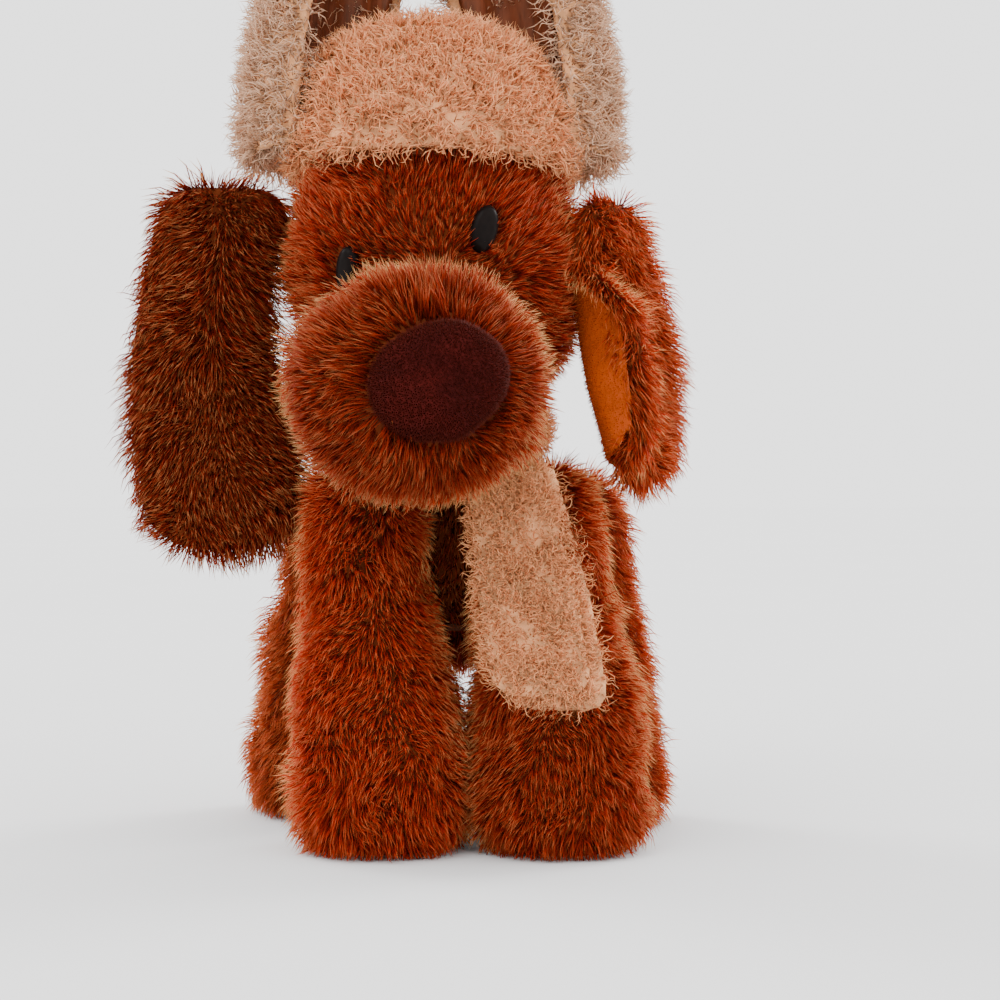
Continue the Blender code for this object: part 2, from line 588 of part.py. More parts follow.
def centre_on_floor():
    """Bring the middle of the whole puppet over the origin, keeping its soles at Z = 0."""
    shown = [o for o in bpy.context.collection.objects if not o.hide_render]
    points = numpy.array([v.co for o in shown for v in o.data.vertices])
    middle = (points.min(axis=0) + points.max(axis=0)) / 2
    for obj in bpy.context.collection.objects:
        obj.data.transform(Matrix.Translation((-middle[0], -middle[1], 0)))
    print("moved by", -middle[0] / MM, -middle[1] / MM)


def main():
    for obj in list(bpy.data.objects):
        bpy.data.objects.remove(obj)
    mats = {
        "plush": material("chestnut_plush", (0.29, 0.075, 0.014), 0.9),
        "cream": material("cream_plush", (0.72, 0.45, 0.28), 0.95),
        "fibre": material("polyester_fibre", (0.86, 0.86, 0.84), 0.9),
        "beans": material("bean_bag", (0.75, 0.75, 0.72), 0.7),
        "sleeve": material("sleeve_cloth", (0.16, 0.05, 0.02), 0.6),
        "satin": material("brown_satin", (0.09, 0.028, 0.014), 0.35),
        "ear": material("ear_velboa", (0.42, 0.14, 0.02), 0.8),
        "nose": material("nose_velour", (0.085, 0.018, 0.016), 0.8),
        "eye": material("eye_plastic", (0.01, 0.01, 0.01), 0.15),
        "washer": material("eye_washer_plastic", (0.8, 0.8, 0.8), 0.4),
    }
    build_torso(mats)
    build_neck(mats)
    build_head(mats)
    build_muzzle(mats)
    build_hat(mats)
    build_flap("left", -1, *LEFT_FLAP, mats)
    build_flap("right", 1, *RIGHT_FLAP, mats)
    left = Matrix.Translation(LEFT_EAR_AT) @ Matrix.Rotation(math.radians(LEFT_EAR_TURN), 4, "Z")
    build_ear("left", left, LEFT_EAR_LENGTH, -4, 21, mats)
    right = Matrix.Translation(RIGHT_EAR_AT) @ Matrix.Rotation(math.radians(RIGHT_EAR_TURN), 4, "Z")
    build_ear("right", right, RIGHT_EAR_LENGTH, 6, 16, mats)
    build_leg("front_left", FRONT_LEFT, mats)
    build_leg("front_right", FRONT_RIGHT, mats)
    build_leg("hind_left", HIND_LEFT, mats)
    build_leg("hind_right", HIND_RIGHT, mats)
    build_scarf(mats)
    build_tail(mats)
    centre_on_floor()


main()
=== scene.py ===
"""Looks of the plush dog hand puppet.

Long chestnut pile, a curly cream hat and scarf, and satin and velboa linings.
"""

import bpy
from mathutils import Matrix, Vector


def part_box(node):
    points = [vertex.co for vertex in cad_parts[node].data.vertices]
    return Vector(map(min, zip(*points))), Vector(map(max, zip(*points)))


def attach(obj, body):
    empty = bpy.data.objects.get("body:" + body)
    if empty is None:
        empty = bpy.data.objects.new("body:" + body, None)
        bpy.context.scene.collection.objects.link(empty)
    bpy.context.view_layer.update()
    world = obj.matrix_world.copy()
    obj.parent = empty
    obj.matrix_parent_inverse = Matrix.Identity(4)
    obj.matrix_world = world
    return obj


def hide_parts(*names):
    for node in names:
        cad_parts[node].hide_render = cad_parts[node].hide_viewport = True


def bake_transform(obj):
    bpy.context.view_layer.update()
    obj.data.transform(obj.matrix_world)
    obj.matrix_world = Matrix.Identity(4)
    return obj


bl_info = {
    "name": "Plush dog puppet",
    "version": (1, 0, 0),
    "blender": (4, 5, 0),
    "location": "View3D > Sidebar > Puppet",
    "description": "Grows the pile, linings, nose and eyes of a plush dog hand puppet on its frame",
    "category": "Add Mesh",
}

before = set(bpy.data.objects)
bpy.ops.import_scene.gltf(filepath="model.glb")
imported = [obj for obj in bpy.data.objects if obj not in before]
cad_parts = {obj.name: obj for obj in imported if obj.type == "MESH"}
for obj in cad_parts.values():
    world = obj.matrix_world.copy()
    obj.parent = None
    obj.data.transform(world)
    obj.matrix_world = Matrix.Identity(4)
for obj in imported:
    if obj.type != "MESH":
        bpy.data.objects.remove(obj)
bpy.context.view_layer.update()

import math

import bpy
import numpy as np
from mathutils import Vector, kdtree

MM = 0.001
LEGS = ("front_left", "front_right", "hind_left", "hind_right")
UP = np.array((0.0, 0.0, 1.0))
PILE_MAP = "OFBake"
SOLE_GAP = 0.2 * MM  # the lowest that a skin comes to the floor
TIP_GAP = 0.3 * MM  # the lowest that a lock comes to the floor
ROOT_DEPTH = 0.4 * MM  # how deep a lock is rooted in its skin
NAP_DEPTH = 0.3 * MM  # the same for the short velour
EYE_CLEAR = 4.4 * MM  # bare ring round the middle of an eye
NOSE_CLEAR = 19.5 * MM  # bare ring round the middle of the nose
LOCK_LENGTHS = (0.72, 1.18)  # shortest and longest lock, as shares of the pile's length
LOCK_WIDTHS = (0.7, 1.25)  # the same for its width


# ---- sizes and colours a user may change ------------------------------------------------


class PuppetPile(bpy.types.PropertyGroup):
    """Pile of the two plush cloths."""

    long_length: bpy.props.FloatProperty(
        name="Chestnut pile", description="Length of the dog's pile", default=0.0105, unit="LENGTH")
    long_width: bpy.props.FloatProperty(
        name="Chestnut fibre", description="Width of a lock of the dog's pile", default=0.00046,
        unit="LENGTH")
    long_density: bpy.props.FloatProperty(
        name="Chestnut density", description="Curved locks in a square millimetre", default=0.46)
    under_density: bpy.props.FloatProperty(
        name="Undercoat density", description="Short straight locks in a square millimetre", default=0.86)
    curl_length: bpy.props.FloatProperty(
        name="Cream pile", description="Length of the hat's and scarf's pile", default=0.0072, unit="LENGTH")
    curl_width: bpy.props.FloatProperty(
        name="Cream fibre", description="Width of a curl of cream pile", default=0.00058, unit="LENGTH")
    curl_density: bpy.props.FloatProperty(
        name="Cream density", description="Curls in a square millimetre", default=0.62)


class PuppetColours(bpy.types.PropertyGroup):
    """Colours of the cloths."""

    root: bpy.props.FloatVectorProperty(
        name="Chestnut root", description="Colour deep in the dog's pile", subtype="COLOR",
        default=(0.045, 0.0038, 0.0008))
    middle: bpy.props.FloatVectorProperty(
        name="Chestnut", description="Colour half way up the dog's pile", subtype="COLOR",
        default=(0.35, 0.0190, 0.0028))
    # Partly the pile's own golden tips and partly a painted rim light: long_pile gives the locks along the
    # silhouette more of this colour.
    tip: bpy.props.FloatVectorProperty(
        name="Golden tip", description="Colour of the dog's pile tips", subtype="COLOR",
        default=(0.92, 0.54, 0.20))
    cream: bpy.props.FloatVectorProperty(
        name="Cream", description="Colour of the hat and scarf", subtype="COLOR",
        default=(0.92, 0.44, 0.20))
    satin: bpy.props.FloatVectorProperty(
        name="Satin", description="Colour of the hat's lining", subtype="COLOR",
        default=(0.100, 0.024, 0.009))
    velboa: bpy.props.FloatVectorProperty(
        name="Ear lining", description="Colour inside the ears", subtype="COLOR",
        default=(0.66, 0.100, 0.010))
    nose: bpy.props.FloatVectorProperty(
        name="Nose", description="Colour of the nose", subtype="COLOR",
        default=(0.050, 0.0040, 0.0030))


class PuppetStage(bpy.types.PropertyGroup):
    """Where the camera stands."""

    distance: bpy.props.FloatProperty(
        name="Camera distance", description="From the neck to the camera", default=0.70, unit="LENGTH")
    height: bpy.props.FloatProperty(
        name="Camera height", description="Above the floor", default=0.121, unit="LENGTH")
    side: bpy.props.FloatProperty(
        name="Camera side step", description="From the middle of the puppet", default=0.0343, unit="LENGTH")
    lens: bpy.props.FloatProperty(name="Lens", description="Focal length in mm", default=69.0)


# ---- shader maths -----------------------------------------------------------------------


class Sheet:
    """A material's nodes, made one at a time by a single method."""

    def __init__(self, name):
        self.material = bpy.data.materials.new(name)
        self.material.use_nodes = True
        self.tree = self.material.node_tree
        self.shader = self.tree.nodes["Principled BSDF"]

    def node(self, kind, settings=None, stops=None, **sockets):
        made = self.tree.nodes.new(kind)
        for key, value in (settings or {}).items():
            setattr(made, key, value)
        if stops:
            ramp = made.color_ramp.elements
            while len(ramp) < len(stops):
                ramp.new(0.5)
            for element, (place, colour) in zip(ramp, stops):
                element.position, element.color = place, (*colour, 1.0)
        for key, value in sockets.items():
            self.feed(made.inputs[int(key[1:]) if key[0] == "n" and key[1:].isdigit() else key], value)
        return made

    def feed(self, socket, value):
        if isinstance(value, Value):
            self.tree.links.new(value.socket, socket)
        elif isinstance(value, bpy.types.NodeSocket):
            self.tree.links.new(value, socket)
        elif isinstance(value, tuple) and len(value) == 3 and socket.type == "RGBA":
            socket.default_value = (*value, 1.0)
        else:
            socket.default_value = value

    def set(self, **values):
        for key, value in values.items():
            self.feed(self.shader.inputs[key.replace("_", " ")], value)

    def blend(self, share, low, high):
        """A colour between two, as the share goes from 0 to 1."""
        mix = self.node("ShaderNodeMix", {"data_type": "RGBA"}, n0=share, n6=low, n7=high)
        return mix.outputs[2]

    def noise(self, scale, detail=3.0, rough=0.55, vector=None):
        place = vector or self.node("ShaderNodeTexCoord").outputs["Object"]
        made = self.node("ShaderNodeTexNoise", Vector=place, Scale=scale, Detail=detail, Roughness=rough)
        return Value(self, made.outputs["Fac"])

    def bump(self, height, depth, strength=1.0):
        made = self.node("ShaderNodeBump", Height=height, Distance=depth, Strength=strength)
        self.set(Normal=made.outputs["Normal"])


class Value:
    """A number in a shader, with the arithmetic that is used on it."""

    def __init__(self, sheet, socket):
        self.sheet, self.socket = sheet, socket

    def math(self, operation, *others):
        sockets = {"n0": self, **{"n%d" % (k + 1): v for k, v in enumerate(others)}}
        made = self.sheet.node("ShaderNodeMath", {"operation": operation}, **sockets)
        return Value(self.sheet, made.outputs[0])

    def __add__(self, other):
        return self.math("ADD", other)

    __radd__ = __add__

    def __mul__(self, other):
        return self.math("MULTIPLY", other)

    __rmul__ = __mul__

    def __sub__(self, other):
        return self.math("SUBTRACT", other)

    def __rsub__(self, other):
        return self * -1.0 + other

    def step(self, low, high):
        made = self.sheet.node(
            "ShaderNodeMapRange", {"interpolation_type": "SMOOTHSTEP"}, Value=self, n1=low, n2=high)
        return Value(self.sheet, made.outputs[0])


# ---- materials --------------------------------------------------------------------------


def pile_material(name, roots, tips, through, gloss=0.15, tint=(1.0, 0.45, 0.22), glow=0.36):
    """Pile that light shines through: colour from root to tip along V, another mix for each lock along U."""
    sheet = Sheet(name)
    uv = sheet.node("ShaderNodeUVMap", {"uv_map": PILE_MAP}).outputs["UV"]
    parts = sheet.node("ShaderNodeSeparateXYZ", Vector=uv)
    lock, along = Value(sheet, parts.outputs[0]), Value(sheet, parts.outputs[1])
    dark = sheet.node("ShaderNodeValToRGB", stops=roots, Fac=along).outputs["Color"]
    light = sheet.node("ShaderNodeValToRGB", stops=tips, Fac=along).outputs["Color"]
    colour = sheet.blend(lock, dark, light)
    sheet.set(Base_Color=colour, Roughness=0.6, Specular_IOR_Level=gloss, Specular_Tint=tint)
    lit = sheet.node("ShaderNodeBsdfTranslucent", Color=through)
    both = sheet.node("ShaderNodeMixShader", n0=glow, n1=sheet.shader.outputs[0], n2=lit.outputs[0])
    sheet.feed(sheet.tree.nodes["Material Output"].inputs["Surface"], both.outputs[0])
    return sheet.material


def shades(colour, *factors):
    return [tuple(channel * factor for channel in colour) for factor in factors]


def chestnut_pile(name, shift=(1.0, 1.0, 1.0), tip_at=0.82, dark=1.0):
    colours = bpy.context.scene.puppet_colours
    root, middle, tip = (tuple(c) for c in (colours.root, colours.middle, colours.tip))
    middle = tuple(c * s * dark for c, s in zip(middle, shift))
    rich, bright = shades(middle, 0.75, 1.35)
    low = [(0.0, root), (0.30, shades(middle, 0.45)[0]), (0.70, rich), (1.0, middle)]
    high = [(0.0, root), (0.22, shades(middle, 0.65)[0]), (0.52, bright), (tip_at - 0.30, bright),
            (tip_at, tip), (1.0, tip)]
    through = tuple(1.5 * c + more for c, more in zip(middle, (0.16, 0.085, 0.030)))
    return pile_material(name, low, high, through)


def cream_pile(name, shift=(1.0, 1.0, 1.0)):
    cream = tuple(c * s for c, s in zip(bpy.context.scene.puppet_colours.cream, shift))
    deep, low, bright = shades(cream, 0.40, 0.78, 1.12)
    pale = tuple(min(c * 1.25 + 0.10, 0.95) for c in cream)
    roots = [(0.0, deep), (0.4, low), (1.0, cream)]
    tips = [(0.0, deep), (0.35, cream), (0.8, bright), (1.0, pale)]
    return pile_material(name, roots, tips, bright, gloss=0.3, tint=(1.0, 0.85, 0.7), glow=0.35)


def cloth_material(name, colour, rough=0.9, weave=900.0, depth=0.0002, patches=25.0):
    """Knitted backing: fine weave in the bump, slow patches in the colour."""
    sheet = Sheet(name)
    patch = sheet.noise(patches, 4.0)
    fine = sheet.noise(weave, 2.0, 0.7)
    low, high = shades(colour, 0.65, 1.25)
    sheet.set(Base_Color=sheet.blend(patch.step(0.3, 0.7), low, high), Roughness=rough)
    sheet.set(Specular_IOR_Level=0.1)
    sheet.bump(fine, depth, 0.6)
    return sheet.material


def satin_material(name):
    """Shiny lining: streaks along the cloth in roughness and bump, and painted sheen streaks in colour."""
    sheet = Sheet(name)
    colour = tuple(bpy.context.scene.puppet_colours.satin)
    place = sheet.node("ShaderNodeTexCoord").outputs["Object"]
    drawn = sheet.node("ShaderNodeMapping", Vector=place, Scale=(1.0, 1.0, 0.12)).outputs["Vector"]
    sheen_streak = sheet.noise(420.0, 3.0, 0.6, drawn)
    patch = sheet.noise(60.0, 3.0)
    # Painted sheen: the colour runs from 0.6 to 1.7 times the satin along the streaks and patches, painted
    # highlights on the folds.
    low, high = shades(colour, 0.6, 1.7)
    sheet.set(Base_Color=sheet.blend((sheen_streak * 0.6 + patch * 0.4).step(0.35, 0.7), low, high))
    sheet.set(Roughness=sheen_streak * 0.22 + 0.30, Specular_IOR_Level=0.35, Specular_Tint=(1.0, 0.62, 0.45))
    sheet.bump(sheen_streak + patch, 0.0003, 0.5)
    return sheet.material


def glossy_eye():
    sheet = Sheet("eye_black")
    scuff = sheet.noise(300.0, 5.0, 0.6)
    sheet.set(Base_Color=sheet.blend(scuff, (0.003, 0.002, 0.002), (0.009, 0.006, 0.005)))
    sheet.set(Roughness=scuff * 0.10 + 0.25, Specular_IOR_Level=0.035)
    return sheet.material


def moulded(name, colour):
    sheet = Sheet(name)
    grain = sheet.noise(500.0, 2.0)
    low, high = shades(colour, 0.9, 1.05)
    sheet.set(Base_Color=sheet.blend(grain, low, high), Roughness=grain * 0.15 + 0.4)
    sheet.bump(grain, 0.00005, 0.4)
    return sheet.material


# ---- pieces from the frame --------------------------------------------------------------


def only(piece):
    """Select this piece alone."""
    bpy.ops.object.select_all(action="DESELECT")
    piece.select_set(True)
    bpy.context.view_layer.objects.active = piece


def copied(name, *nodes):
    """A new piece with the merged meshes of some CAD nodes."""
    copies = []
    for node in nodes:
        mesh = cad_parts[node].data.copy()
        mesh.materials.clear()
        copy = bpy.data.objects.new(name, mesh)
        bpy.context.collection.objects.link(copy)
        copies.append(copy)
    bpy.ops.object.select_all(action="DESELECT")
    for copy in copies:
        copy.select_set(True)
    bpy.context.view_layer.objects.active = copies[0]
    if len(copies) > 1:
        bpy.ops.object.join()
    piece = bpy.context.active_object
    piece.name = name
    bpy.ops.object.mode_set(mode="EDIT")
    bpy.ops.mesh.select_all(action="SELECT")
    bpy.ops.mesh.remove_doubles(threshold=0.00001)
    bpy.ops.object.mode_set(mode="OBJECT")
    return piece


def applied(piece, kind, **settings):
    """Give the piece one modifier and apply it."""
    only(piece)
    step = piece.modifiers.new(kind.lower(), kind)
    for key, value in settings.items():
        setattr(step, key, value)
    bpy.ops.object.modifier_apply(modifier=step.name)


def rounded(piece, voxel, rounds):
    """Melt the CAD shell and its filling into one soft skin."""
    applied(piece, "REMESH", mode="VOXEL", voxel_size=voxel, use_smooth_shade=True)
    applied(piece, "SMOOTH", factor=0.6, iterations=rounds)
    only(piece)
    bpy.ops.object.shade_smooth()


def places(mesh):
    flat = np.empty(len(mesh.vertices) * 3)
    mesh.vertices.foreach_get("co", flat)
    return flat.reshape(-1, 3)


def normals(mesh):
    flat = np.empty(len(mesh.vertices) * 3)
    mesh.vertices.foreach_get("normal", flat)
    return flat.reshape(-1, 3)


def move_to(mesh, points):
    mesh.vertices.foreach_set("co", np.asarray(points, float).ravel())
    mesh.update()


def ripples(points, length, seed, waves=9):
    """Smooth wandering values between about -1 and 1, with this wavelength."""
    rng = np.random.default_rng(seed)
    total = np.zeros(len(points))
    for _ in range(waves):
        way = rng.normal(size=3)
        way *= 2 * math.pi / length / np.linalg.norm(way) * rng.uniform(0.6, 1.5)
        total += np.sin(points @ way + rng.uniform(0, 2 * math.pi))
    return total / math.sqrt(waves)


def lumpy(piece, depth, length, seed, swell=0.0):
    """Uneven stuffing: push the skin out a little along its normals, more in some places."""
    mesh = piece.data
    points, out = places(mesh), normals(mesh)
    push = np.maximum(ripples(points, length, seed), -0.5) * depth + swell
    points = points + out * push[:, None]
    points[:, 2] = np.maximum(points[:, 2], SOLE_GAP)
    move_to(mesh, points)


def finish_piece(piece, body, slot, material, *replaced):
    """Give a piece its material and its body, and hide the CAD nodes that it stands for. The slot is not
    used.
    """
    piece.data.materials.clear()
    piece.data.materials.append(material)
    if body == "neck":
        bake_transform(piece)
    else:
        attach(piece, body)
    if replaced:
        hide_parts(*replaced)
    return piece


# ---- pile -------------------------------------------------------------------------------


def unit(vectors):
    return vectors / np.maximum(np.linalg.norm(vectors, axis=1, keepdims=True), 1e-9)


def scatter(mesh, density, rng, keep):
    """Evenly spread points on a mesh, with normals: one for each share of its area."""
    mesh.calc_loop_triangles()
    tris = np.empty(len(mesh.loop_triangles) * 3, dtype=np.int64)
    mesh.loop_triangles.foreach_get("vertices", tris)
    tris = tris.reshape(-1, 3)
    points, out = places(mesh), normals(mesh)
    a, b, c = (points[tris[:, k]] for k in range(3))
    area = np.linalg.norm(np.cross(b - a, c - a), axis=1) / 2
    middle = (a + b + c) / 3
    area = np.where(keep(middle, unit(out[tris].mean(axis=1))), area, 0.0)
    edge = np.cumsum(area)
    count = int(edge[-1] / MM / MM * density)
    spots = (np.arange(count) + rng.random(count)) / count * edge[-1]
    which = np.minimum(np.searchsorted(edge, spots), len(tris) - 1)
    u, v = np.sqrt(rng.random(count)), rng.random(count)
    weights = np.stack((1 - u, u * (1 - v), u * v), axis=1)[:, :, None]
    return (points[tris[which]] * weights).sum(axis=1), unit((out[tris[which]] * weights).sum(axis=1))


def coat(spine, width, lock, rng):
    """Closed three-sided tapering locks along spines of shape (count, points, 3)."""
    count, rings = spine.shape[0], spine.shape[1] - 1
    way = unit(spine[:, -1] - spine[:, 0])
    side = unit(np.cross(way, unit(rng.normal(size=(count, 3)))))
    other = np.cross(way, side)
    verts = np.empty((count, rings * 3 + 1, 3))
    for ring in range(rings):
        radius = (width / 2 * (1.0 - 0.35 * ring / rings))[:, None]
        for k in range(3):
            turn = 2 * math.pi * k / 3 + ring * 0.5
            outward = math.cos(turn) * side + math.sin(turn) * other
            verts[:, ring * 3 + k] = spine[:, ring] + radius * outward
    verts[:, -1] = spine[:, -1]
    verts[:, :, 2] = np.maximum(verts[:, :, 2], TIP_GAP)
    faces = [(2, 1, 0)]
    for low in range(0, rings * 3 - 3, 3):
        for k in range(3):
            after = (k + 1) % 3
            faces += [(low + k, low + after, low + 3 + after), (low + k, low + 3 + after, low + 3 + k)]
    last = rings * 3 - 3
    faces += [(last + k, last + (k + 1) % 3, rings * 3) for k in range(3)]
    faces = np.array(faces)
    loops = (faces[None] + (np.arange(count) * verts.shape[1])[:, None, None]).reshape(-1)
    along = np.append(np.repeat(np.arange(rings) / rings, 3), 1.0) * 0.96 + 0.02
    across = np.append(np.tile((0.0, 0.5, 1.0), rings), 0.5) * 0.01
    uv = np.empty((count, faces.size, 2))
    uv[:, :, 0] = 0.01 + np.clip(lock, 0, 1)[:, None] * 0.96 + across[faces.ravel()]
    uv[:, :, 1] = along[faces.ravel()]
    return verts.reshape(-1, 3), loops, uv.reshape(-1, 2)


def strands(name, *coats):
    """One piece of pile from its coats."""
    start = np.cumsum([0] + [len(verts) for verts, _, _ in coats])
    verts = np.concatenate([coat[0] for coat in coats])
    loops = np.concatenate([coat[1] + start[k] for k, coat in enumerate(coats)])
    uv = np.concatenate([coat[2] for coat in coats])
    mesh = bpy.data.meshes.new(name)
    mesh.vertices.add(len(verts))
    mesh.vertices.foreach_set("co", verts.ravel())
    mesh.loops.add(len(loops))
    mesh.loops.foreach_set("vertex_index", loops)
    total = len(loops) // 3
    mesh.polygons.add(total)
    mesh.polygons.foreach_set("loop_start", np.arange(total) * 3)
    mesh.polygons.foreach_set("use_smooth", np.ones(total, dtype=bool))
    mesh.update(calc_edges=True)
    layer = mesh.uv_layers.new(name=PILE_MAP)
    layer.data.foreach_set("uv", uv.ravel())
    mesh.validate()
    piece = bpy.data.objects.new(name, mesh)
    bpy.context.collection.objects.link(piece)
    return piece


def everywhere(points, out):
    return np.ones(len(points), dtype=bool)


def clear_of(piece, gap):
    """Where a skin is not covered by a lining: further than the gap from the lining's points."""
    covered = places(piece.data)
    tree = kdtree.KDTree(len(covered))
    for k, point in enumerate(covered):
        tree.insert(point, k)
    tree.balance()
    return lambda points, out: np.array([tree.find(point)[2] for point in points]) > gap


def gather(roots, tips, share, rng, every):
    """Draw each tip towards its neighbours' so that the pile stands in tufts."""
    centres = rng.choice(len(roots), max(len(roots) // every, 1), replace=False)
    tree = kdtree.KDTree(len(centres))
    for k, index in enumerate(centres):
        tree.insert(roots[index], k)
    tree.balance()
    nearest = centres[[tree.find(root)[1] for root in roots]]
    target = tips[nearest] + (roots - roots[nearest]) * 0.12
    pull = (share * rng.uniform(0.3, 1.0, len(roots)))[:, None]
    return tips + (target - tips) * pull


def long_pile(name, skin, flow, seed, keep=everywhere, length=1.0, lean=0.50, density=1.0, tufts=0.45):
    """The dog's own pile: soft locks that lie along the flow, over a short straight undercoat."""
    pile = bpy.context.scene.puppet_pile
    rng = np.random.default_rng(seed)
    share, wide = ((1.0, 1.0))
    coats = []
    for over, thick in ((True, pile.long_density), (False, pile.under_density)):
        roots, out = scatter(skin.data, thick * density * share, rng, keep)
        count = len(roots)
        way = flow(roots, out)
        way = unit(way - (way * out).sum(axis=1, keepdims=True) * out)
        uneven = 1 + 0.16 * ripples(roots, 0.03, seed)
        reach = pile.long_length * length * rng.uniform(*LOCK_LENGTHS, count) * uneven
        reach = reach * (1.0 if over else 0.78)
        stray = rng.normal(size=(count, 3))
        wind = np.stack([ripples(roots, 0.022, seed + k) for k in range(3)], axis=1)
        grow = unit(out * (1 - lean) + way * lean + stray * 0.17 + wind * 0.20)
        tips = gather(roots, roots + grow * reach[:, None], tufts, rng, 14)
        low = roots - out * ROOT_DEPTH
        spine = [low, tips]
        if over:
            spine.insert(1, roots + (tips - roots) * 0.5 + (out * 0.10 + stray * 0.04) * reach[:, None])
        width = pile.long_width * rng.uniform(*LOCK_WIDTHS, count) * wide
        # Painted rim light: where the skin turns sideways to the camera, the locks take more of the light
        # ramp with its golden tips, so a golden rim is painted along the silhouette.
        edge = np.clip((0.70 - np.abs(out[:, 1])) / 0.55, 0, 1) ** 1.5
        lock = rng.random(count) * 0.36 + 0.88 * edge - 0.03
        coats.append(coat(np.stack(spine, axis=1), width, lock, rng))
    return strands(name, *coats)


def curly_pile(name, skin, seed, keep=everywhere, length=1.0, density=1.0, fine=1.0):
    """The cream pile: short fibres that wind round themselves in every direction."""
    pile = bpy.context.scene.puppet_pile
    rng = np.random.default_rng(seed)
    share = 1.0
    roots, out = scatter(skin.data, pile.curl_density * density * share, rng, keep)
    count = len(roots)
    reach = pile.curl_length * length * rng.uniform(0.6, 1.25, count)
    wind = np.stack([ripples(roots, 0.014, seed + k) for k in range(3)], axis=1)
    grow = unit(out + wind * 0.55 + rng.normal(size=(count, 3)) * 0.32)
    side = unit(np.cross(grow, rng.normal(size=(count, 3))))
    other = np.cross(grow, side)
    start, turns = rng.uniform(0, 2 * math.pi, count), rng.uniform(2.5, 5.5, count)
    spine = []
    for along in (0.0, 0.34, 0.68, 1.0):
        turn = (start + turns * along)[:, None]
        swing = (np.cos(turn) * side + np.sin(turn) * other) * (reach * 0.30 * along ** 0.6)[:, None]
        spine.append(roots + grow * (reach * along)[:, None] + swing)
    spine = np.stack(spine, axis=1)
    spine[:, 0] -= out * ROOT_DEPTH
    width = pile.curl_width * fine * rng.uniform(0.7, 1.3, count) * 1.0
    return strands(name, coat(spine, width, rng.random(count), rng))


def fuzz(name, skin, seed, keep=everywhere, length=0.0016, width=0.00034, density=1.3, flow=None):
    """Short velour pile."""
    rng = np.random.default_rng(seed)
    roots, out = scatter(skin.data, density * (1.0), rng, keep)
    count = len(roots)
    way = flow(roots, out) if flow else np.zeros((count, 3))
    grow = unit(out + way * 0.7 + rng.normal(size=(count, 3)) * 0.28)
    reach = (length * rng.uniform(0.6, 1.2, count))[:, None]
    spine = np.stack((roots - out * NAP_DEPTH, roots + grow * reach), axis=1)
    return strands(name, coat(spine, np.full(count, width), rng.random(count), rng))


def towards(*way):
    """A flow that goes one way all over."""
    fixed = np.array(way, float)
    return lambda points, out: np.tile(fixed, (len(points), 1))


def hanging(centre, spread, tall=0.0):
    """A flow that hangs down and spreads from a middle line."""
    share = np.array((1.0, 1.0, tall))
    return lambda points, out: unit((points - centre) * share) * spread - UP


def away_from(centre, droop=0.0):
    """A flow that spreads from a point."""
    middle = np.array(centre, float)
    return lambda points, out: unit(points - middle) - UP * droop


def middle_of(node):
    low, high = (np.array(c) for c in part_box(node))
    return (low + high) / 2


# ---- operators, one for each piece or group ---------------------------------------------


class MakeLegs(bpy.types.Operator):
    """Four floppy legs: skin over the filling, with pile that hangs down to the paw."""

    bl_idname = "puppet.legs"
    bl_label = "Legs"

    # A colour shift and brightness for each leg's copy of the one chestnut pile; on the hind legs, most on
    # the left, the golden shift is painted backlight glow.
    tones_and_glow = {"front_left": ((1.0, 0.95, 1.0), 1.45), "front_right": ((0.95, 1.0, 1.1), 1.30),
             "hind_left": ((1.1, 3.0, 5.0), 1.35), "hind_right": ((1.05, 1.6, 2.0), 1.35)}

    def execute(self, context):
        cloth = cloth_material("chestnut_backing", (0.10, 0.018, 0.004))
        for seed, leg in enumerate(LEGS):
            node = leg + "_leg_plush"
            parts = (node, leg + "_leg_stuffing", leg + "_paw_beans")
            skin = copied(leg + "_leg_skin", *parts)
            rounded(skin, 0.0030, 6)
            lumpy(skin, 0.0011, 0.040, 20 + seed, swell=0.0013)
            finish_piece(skin, leg + "_leg", "chestnut_plush", cloth, *parts)
            shift, dark = self.tones_and_glow[leg]
            pile = long_pile(leg + "_leg_pile", skin, hanging(middle_of(node), 0.35), 40 + seed,
                             keep=self.above_sole, density=1.0 if leg in LEGS[:2] else 0.64)
            # Golden tips start at 0.78 along the locks, a wider golden rim painted on the leg's silhouette.
            colours = chestnut_pile(leg + "_pile", shift, 0.78, dark)
            finish_piece(pile, leg + "_leg", "chestnut_plush", colours)
        return {"FINISHED"}

    @staticmethod
    def above_sole(points, out):
        """All of a leg but the flat sole."""
        return (out[:, 2] > -0.75) | (points[:, 2] > 0.02)


